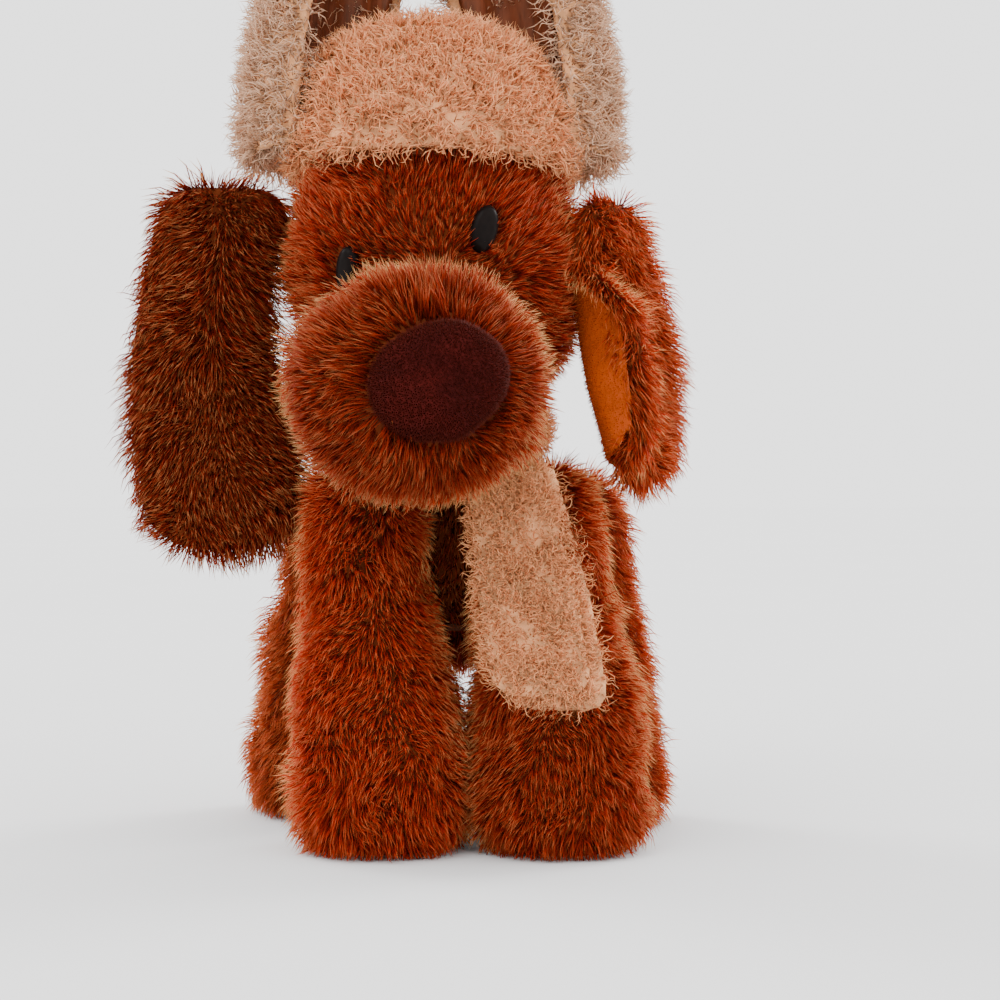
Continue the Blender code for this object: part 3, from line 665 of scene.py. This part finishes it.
class MakeTorso(bpy.types.Operator):
    """The body tube, open below for the hand, with the cloth neck and the tail."""

    bl_idname = "puppet.torso"
    bl_label = "Torso, neck and tail"

    def execute(self, context):
        cloth = bpy.data.materials["chestnut_backing"]
        skin = copied("torso_skin", "torso_plush", "torso_stuffing")
        rounded(skin, 0.0030, 4)
        finish_piece(skin, "torso", "chestnut_plush", cloth, "torso_plush", "torso_stuffing")
        axis = middle_of("torso_plush")

        def outside(points, out):
            """The torso's outer wall, below the collar."""
            radial = unit((points - axis) * np.array((1.0, 1.0, 0.0)))
            return ((radial * out).sum(axis=1) > 0.2) & (points[:, 2] < axis[2] + 0.030)

        pile = long_pile("torso_pile", skin, towards(0, 0, -1), 60, keep=outside, density=0.55)
        finish_piece(pile, "torso", "chestnut_plush", chestnut_pile("torso_pile", (0.8, 0.9, 1.0)))
        neck = copied("neck_skin", "neck_plush")
        rounded(neck, 0.0015, 2)
        finish_piece(neck, "neck", "chestnut_plush", cloth, "neck_plush")
        centre = middle_of("neck_plush")
        round_neck = lambda points, out: (unit((points - centre) * (1, 1, 0)) * out).sum(axis=1) > 0.3
        pile = long_pile("neck_pile", neck, towards(0, 0, -1), 62, keep=round_neck, length=0.6)
        finish_piece(pile, "neck", "chestnut_plush", bpy.data.materials["torso_pile"])
        tail = copied("tail_skin", "tail_plush", "tail_stuffing")
        rounded(tail, 0.0025, 3)
        lumpy(tail, 0.0, 0.04, 30, swell=0.0012)
        finish_piece(tail, "tail", "chestnut_plush", cloth, "tail_plush", "tail_stuffing")
        pile = long_pile("tail_pile", tail, towards(0, 0.3, -1), 64)
        finish_piece(pile, "tail", "chestnut_plush", chestnut_pile("tail_pile", (1.1, 1.1, 1.1)))
        for node in ("hand_sleeve", "sleeve_hem", "head_pocket_lining"):
            dress(node, cloth_material(node + "_cloth", (0.12, 0.035, 0.015), rough=0.6, weave=1500.0))
        return {"FINISHED"}


def dress(node, material):
    """Give a CAD node that stays its own material."""
    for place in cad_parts[node].material_slots:
        place.material = material


class MakeHead(bpy.types.Operator):
    """Head and muzzle: pile that spreads from the nose and parts round the eyes."""

    bl_idname = "puppet.head"
    bl_label = "Head and muzzle"

    def execute(self, context):
        cloth = bpy.data.materials["chestnut_backing"]
        head = copied("head_skin", "head_plush", "head_stuffing")
        rounded(head, 0.0030, 5)
        lumpy(head, 0.0008, 0.05, 71)
        finish_piece(head, "head", "chestnut_plush", cloth, "head_plush", "head_stuffing")
        muzzle = copied("muzzle_skin", "muzzle_plush", "muzzle_stuffing")
        rounded(muzzle, 0.0028, 5)
        lumpy(muzzle, 0.0010, 0.035, 72)
        finish_piece(muzzle, "head", "chestnut_plush", cloth, "muzzle_plush", "muzzle_stuffing")
        nose = middle_of("nose_pad")
        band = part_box("hat_crown_plush")[0][2]
        eyes = [middle_of(side + "_eye") for side in ("left", "right")]
        axis = middle_of("head_plush")

        def face(points, out):
            """The head below the hat's band, without its inner wall and the eyes."""
            clear = np.ones(len(points), dtype=bool)
            for eye in eyes:
                off = (points - eye) * np.array((1.0, 0.6, 0.75))
                clear &= np.linalg.norm(off, axis=1) > EYE_CLEAR
            low = points[:, 2] < band + 0.004
            outward = ((points - axis) * out).sum(axis=1) > 0
            return clear & low & outward

        spread = away_from(nose + np.array((0, 0.01, -0.004)), droop=-0.1)
        pile = long_pile("head_pile", head, spread, 81, keep=face, length=0.92, density=0.76)
        finish_piece(pile, "head", "chestnut_plush", chestnut_pile("head_pile", (0.95, 0.80, 0.9), dark=1.25))

        def round_nose(points, out):
            """The muzzle's front part, without the nose's own place."""
            off = (points - nose) * np.array((1.0, 0.2, 1.15))
            return (np.linalg.norm(off, axis=1) > NOSE_CLEAR) & (points[:, 1] < axis[1] - 0.02)

        pile = long_pile("muzzle_pile", muzzle, away_from(nose, droop=0.12), 82, keep=round_nose, lean=0.56)
        finish_piece(pile, "head", "chestnut_plush", chestnut_pile("muzzle_pile", (1.0, 1.1, 1.2), dark=0.92))
        return {"FINISHED"}


class MakeNose(bpy.types.Operator):
    """Short-piled oval nose and the glossy eyes."""

    bl_idname = "puppet.nose"
    bl_label = "Nose and eyes"

    def execute(self, context):
        colour = tuple(context.scene.puppet_colours.nose)
        pad = copied("nose_skin", "nose_pad")
        rounded(pad, 0.0013, 8)
        lumpy(pad, 0.0005, 0.018, 91)
        cloth = cloth_material("nose_cloth", colour, patches=90.0)
        finish_piece(pad, "head", "nose_velour", cloth, "nose_pad")
        front = middle_of("nose_pad")
        low, mid, high = shades(colour, 0.55, 1.0, 2.3)
        velour = pile_material("nose_velour", [(0.0, low), (1.0, mid)], [(0.0, low), (0.6, mid), (1.0, high)],
                               mid, glow=0.1)
        pile = fuzz("nose_pile", pad, 92, keep=lambda points, out: out[:, 1] < 0.35, density=5.0,
                    length=0.0017, flow=lambda points, out: unit(points - front) * 0.6 - UP * 0.3)
        finish_piece(pile, "head", "nose_velour", velour)
        glossy = glossy_eye()
        for side in ("left", "right"):
            eye = copied(side + "_eye_dome", side + "_eye")
            rounded(eye, 0.0005, 6)
            roll(eye, math.radians(-16))
            finish_piece(eye, "head", "eye_plastic", glossy, side + "_eye")
            dress(side + "_eye_washer", moulded(side + "_washer_plastic", (0.75, 0.75, 0.72)))
        return {"FINISHED"}


def roll(piece, angle):
    """Turn an eye about its own middle, in the plane of the face, and let the pile close in on it."""
    points = places(piece.data)
    middle = (points.min(axis=0) + points.max(axis=0)) / 2
    off = (points - middle) * np.array((0.82, 1.0, 0.95))
    turned = off.copy()
    turned[:, 0] = off[:, 0] * math.cos(angle) - off[:, 2] * math.sin(angle)
    turned[:, 2] = off[:, 0] * math.sin(angle) + off[:, 2] * math.cos(angle)
    move_to(piece.data, middle + turned)


class MakeEars(bpy.types.Operator):
    """Long ears: pile outside, orange velboa inside, the right one curled open along its front edge."""

    bl_idname = "puppet.ears"
    bl_label = "Ears"

    # A colour shift and brightness for each ear's copy of the one chestnut pile; the right ear's golden,
    # brighter copy is painted light.
    tones_and_glow = {"left": ((0.9, 0.85, 1.0), 1.0), "right": ((1.1, 1.7, 2.2), 1.4)}
    # how far the two edges hang to the side: shares of the way down, then each edge's millimetres
    edges = {
        "left": ((0.10, 0.27, 0.40, 0.54, 0.68, 0.81, 0.92),
                 (0, 0, 0, 0, 0, 0, 0), (0, -8, -10, -5, 1, 4, 5)),
        "right": ((0.10, 0.35, 0.50, 0.67, 0.84, 0.97), (0, -7, -6, -2.5, 3, 7), (0, 0, 1.5, 3, 5, 7))}

    def execute(self, context):
        cloth = bpy.data.materials["chestnut_backing"]
        velboa = tuple(context.scene.puppet_colours.velboa)
        inner = cloth_material("ear_velboa", shades(velboa, 0.6)[0], rough=0.85, weave=700.0, depth=0.0003)
        low, mid, high = shades(velboa, 0.5, 1.0, 1.5)
        nap = pile_material("ear_nap", [(0.0, low), (1.0, mid)], [(0.0, low), (0.6, mid), (1.0, high)], mid)
        for seed, side in enumerate(("left", "right")):
            skin = copied(side + "_ear_skin", side + "_ear_plush")
            rounded(skin, 0.0016, 5)
            lining = copied(side + "_ear_inside", side + "_ear_lining")
            rounded(lining, 0.0013, 2)
            for piece in (skin, lining):
                if side == "right":
                    curl_edge(piece)
                hang(piece, side + "_ear_plush", *self.edges[side])
            finish_piece(skin, side + "_ear", "chestnut_plush", cloth, side + "_ear_plush")
            finish_piece(lining, side + "_ear", "ear_velboa", inner, side + "_ear_lining")
            shift, dark = self.tones_and_glow[side]
            flow = hanging(middle_of(side + "_ear_plush"), 0.75, tall=0.25)
            pile = long_pile(side + "_ear_pile", skin, flow, 100 + seed, keep=clear_of(lining, 0.0022),
                             length=1.05)
            # Golden tips start at 0.68 along the locks, a wide golden rim of backlight painted on the ears'
            # silhouettes.
            colours = chestnut_pile(side + "_ear_pile", shift, 0.68, dark)
            finish_piece(pile, side + "_ear", "chestnut_plush", colours)
            face = self.outer_way(side)
            bare = everywhere if side == "right" else lambda points, out, face=face: (out @ face) < 0.3
            soft = fuzz(side + "_ear_nap", lining, 110 + seed, keep=bare, density=1.2, flow=towards(0, 0, -1))
            finish_piece(soft, side + "_ear", "ear_velboa", nap)
        return {"FINISHED"}

    @staticmethod
    def outer_way(side):
        """The way an ear's pile side looks: from its lining's middle to its pile side's."""
        way = middle_of(side + "_ear_plush") - middle_of(side + "_ear_lining")
        way[2] = 0
        return way / np.linalg.norm(way)


def hang(piece, node, heights, one, other):
    """Move an ear's two long edges sideways, each by its own amount at each height."""
    low, high = (np.array(corner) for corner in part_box(node))
    points = places(piece.data)
    down = (high[2] - points[:, 2]) / (high[2] - low[2])
    share = np.clip((points[:, 0] - low[0]) / (high[0] - low[0]), 0, 1)
    first, second = np.interp(down, heights, one), np.interp(down, heights, other)
    points[:, 0] += MM * (first * (1 - share) + second * share)
    move_to(piece.data, points)


def curl_edge(piece, half_width=0.0285, reach=0.024, radius=0.0065, turn=1.85):
    """Roll the right ear's front edge outwards below its top, so that the lining shows."""
    out = MakeEars.outer_way("right")
    back = np.array((-out[1], out[0], 0.0))
    seam = middle_of("right_ear_lining") * 0.35 + middle_of("right_ear_plush") * 0.65 - out * 0.0025
    low, high = (np.array(corner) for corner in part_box("right_ear_plush"))
    points = places(piece.data)
    along, off = (points - seam) @ back, (points - seam) @ out
    rest = points - seam - along[:, None] * back - off[:, None] * out
    start = reach - half_width
    share = np.clip((high[2] - 0.016 - points[:, 2]) / 0.030, 0, 1)
    share = share * share * (3 - 2 * share) * np.clip((points[:, 2] - low[2] + 0.012) / 0.03, 0.3, 1)
    past = np.maximum(start - along, 0.0)
    round_part = np.minimum(past, radius * turn)
    straight = past - round_part
    tight = np.maximum(share, 0.001) / radius
    angle = tight * round_part
    sine, cosine = np.sin(angle), np.cos(angle)
    new_along = start - sine / tight - straight * cosine + off * sine
    new_off = (1 - cosine) / tight + straight * sine + off * cosine
    bent = past > 0
    along, off = np.where(bent, new_along, along), np.where(bent, new_off, off)
    move_to(piece.data, seam + rest + along[:, None] * back + off[:, None] * out)


class MakeHat(bpy.types.Operator):
    """Curly hat crown and its two turned-up flaps with satin insides."""

    bl_idname = "puppet.hat"
    bl_label = "Hat"

    def execute(self, context):
        backing = cloth_material("cream_backing", (0.62, 0.30, 0.14), weave=500.0, depth=0.0006,
                                 patches=120.0)
        satin = satin_material("brown_satin")
        crown = copied("hat_crown_skin", "hat_crown_plush")
        rounded(crown, 0.0020, 6)
        lumpy(crown, 0.0009, 0.03, 121)
        finish_piece(crown, "head", "cream_plush", backing, "hat_crown_plush")
        axis = middle_of("hat_crown_plush") - UP * 0.02
        outward = lambda points, out: (unit(points - axis) * out).sum(axis=1) > -0.1
        pile = curly_pile("hat_crown_pile", crown, 122, keep=outward, density=1.02, fine=0.92)
        finish_piece(pile, "head", "cream_plush", cream_pile("hat_pile"))
        dress("hat_lining", satin)
        cool = cream_pile("flap_pile", (0.80, 1.08, 1.55))
        for seed, side in enumerate(("left", "right")):
            body = side + "_hat_flap"
            skin = copied(body + "_skin", body + "_plush")
            rounded(skin, 0.0016, 4)
            lumpy(skin, 0.0007, 0.03, 123 + seed)
            finish_piece(skin, body, "cream_plush", backing, body + "_plush")
            inside = middle_of(body + "_lining") + np.array((0.030 if side == "left" else -0.030, 0, 0))
            lining = copied(body + "_satin", body + "_lining")
            drape(lining, inside, 140 + seed)
            finish_piece(lining, body, "brown_satin", satin, body + "_lining")
            pile = curly_pile(body + "_pile", skin, 130 + seed, keep=clear_of(lining, 0.0042), length=1.1,
                              density=0.92, fine=0.90)
            finish_piece(pile, body, "cream_plush", cool)
        return {"FINISHED"}


def drape(piece, inside, seed, hem=0.010):
    """Upright folds in a satin lining, which ends above the flap's foot."""
    only(piece)
    bpy.ops.object.mode_set(mode="EDIT")
    bpy.ops.mesh.select_all(action="SELECT")
    bpy.ops.mesh.subdivide(number_cuts=3, smoothness=0.0)
    bpy.ops.object.mode_set(mode="OBJECT")
    points = places(piece.data)
    away = unit((points - inside) * np.array((1.0, 1.0, 0.0)))
    tall = points * np.array((1.0, 1.0, 0.22))
    fold = np.minimum(ripples(tall, 0.016, seed) * 0.0012, 0.0012) - 0.0026
    points = points + away * fold[:, None]
    low, high = points[:, 2].min(), points[:, 2].max()
    points[:, 2] = high - (high - points[:, 2]) * (1 - hem / (high - low))
    move_to(piece.data, points)
    bpy.ops.object.shade_smooth()


class MakeScarf(bpy.types.Operator):
    """The scarf's turn round the neck, its knot and its two hanging ends."""

    bl_idname = "puppet.scarf"
    bl_label = "Scarf"

    bodies = {"scarf_collar": "torso", "scarf_knot": "torso",
              "scarf_end_upper": "scarf_end", "scarf_end_under": "scarf_end"}

    def execute(self, context):
        backing = bpy.data.materials["cream_backing"]
        cream = cream_pile("scarf_pile", (0.98, 0.98, 0.95))
        for seed, (node, body) in enumerate(self.bodies.items()):
            skin = copied(node + "_skin", node)
            rounded(skin, 0.0014, 3)
            lumpy(skin, 0.0005, 0.02, 150 + seed)
            finish_piece(skin, body, "cream_plush", backing, node)
            pile = curly_pile(node + "_pile", skin, 160 + seed, length=0.70, fine=0.72,
                              density=1.9 if node == "scarf_end_upper" else 0.95)
            finish_piece(pile, body, "cream_plush", cream)
            if body == "torso":
                continue
        return {"FINISHED"}


class MakeStage(bpy.types.Operator):
    """Pale floor, soft lights and the camera."""

    bl_idname = "puppet.stage"
    bl_label = "Stage"

    def execute(self, context):
        set_up = context.scene.puppet_stage
        bpy.ops.mesh.primitive_plane_add(size=60.0, location=(0, 0, 0))
        floor = context.active_object
        floor.name = "floor"
        pale = Sheet("pale_floor")
        grain = pale.noise(3.0, 2.0)
        pale.set(Base_Color=pale.blend(grain, (0.69, 0.69, 0.69), (0.72, 0.72, 0.72)), Roughness=1.0)
        pale.set(Specular_IOR_Level=0.0)
        floor.data.materials.append(pale.material)
        world = bpy.data.worlds.new("studio")
        world.use_nodes = True
        back = world.node_tree.nodes["Background"]
        back.inputs["Color"].default_value = (1.0, 1.0, 1.0, 1.0)
        back.inputs["Strength"].default_value = 2.4
        context.scene.world = world
        self.light("key", (-0.55, -0.75, 0.95), 40.0, 1.1)
        self.light("fill", (0.80, -0.60, 0.45), 50.0, 0.4)
        self.light("rim_left", (-0.80, 0.60, 0.45), 25.0, 2.3)
        self.light("rim_right", (0.80, 0.55, 0.50), 25.0, 2.3)
        camera = bpy.data.objects.new("camera", bpy.data.cameras.new("camera"))
        camera.data.lens = set_up.lens
        camera.data.sensor_width = 36.0
        neck = middle_of("torso_plush")[1] + 0.004
        camera.location = (set_up.side, neck - 0.018 - set_up.distance, set_up.height)
        camera.rotation_euler = (math.pi / 2, 0, 0)
        context.collection.objects.link(camera)
        context.scene.camera = camera
        return {"FINISHED"}

    @staticmethod
    def light(name, place, spread, power):
        """A soft lamp as far off as the sun, shining from this side onto the puppet."""
        lamp = bpy.data.lights.new(name, "SUN")
        lamp.angle, lamp.energy = math.radians(spread), power
        obj = bpy.data.objects.new(name, lamp)
        obj.location = place
        obj.rotation_euler = (-Vector(place)).to_track_quat("-Z", "Y").to_euler()
        bpy.context.collection.objects.link(obj)


class PuppetPanel(bpy.types.Panel):
    """Lists the puppet's sizes and pieces."""

    bl_idname = "VIEW3D_PT_puppet"
    bl_label = "Plush dog puppet"
    bl_space_type = "VIEW_3D"
    bl_region_type = "UI"
    bl_category = "Puppet"

    def draw(self, context):
        for group in (context.scene.puppet_pile, context.scene.puppet_colours, context.scene.puppet_stage):
            for key in group.bl_rna.properties.keys():
                if key not in ("rna_type", "name"):
                    self.layout.prop(group, key)
        for operator in OPERATORS:
            self.layout.operator(operator.bl_idname)


GROUPS = (PuppetPile, PuppetColours, PuppetStage)
OPERATORS = (MakeLegs, MakeTorso, MakeHead, MakeNose, MakeEars, MakeHat, MakeScarf, MakeStage)


def register():
    for cls in (*GROUPS, *OPERATORS, PuppetPanel):
        bpy.utils.register_class(cls)
    bpy.types.Scene.puppet_pile = bpy.props.PointerProperty(type=PuppetPile)
    bpy.types.Scene.puppet_colours = bpy.props.PointerProperty(type=PuppetColours)
    bpy.types.Scene.puppet_stage = bpy.props.PointerProperty(type=PuppetStage)


def unregister():
    del bpy.types.Scene.puppet_stage, bpy.types.Scene.puppet_colours, bpy.types.Scene.puppet_pile
    for cls in (PuppetPanel, *OPERATORS[::-1], *GROUPS[::-1]):
        bpy.utils.unregister_class(cls)


def main():
    register()
    for make in ("legs", "torso", "head", "nose", "ears", "hat", "scarf", "stage"):
        getattr(bpy.ops.puppet, make)()


if __name__ == "__main__":
    main()
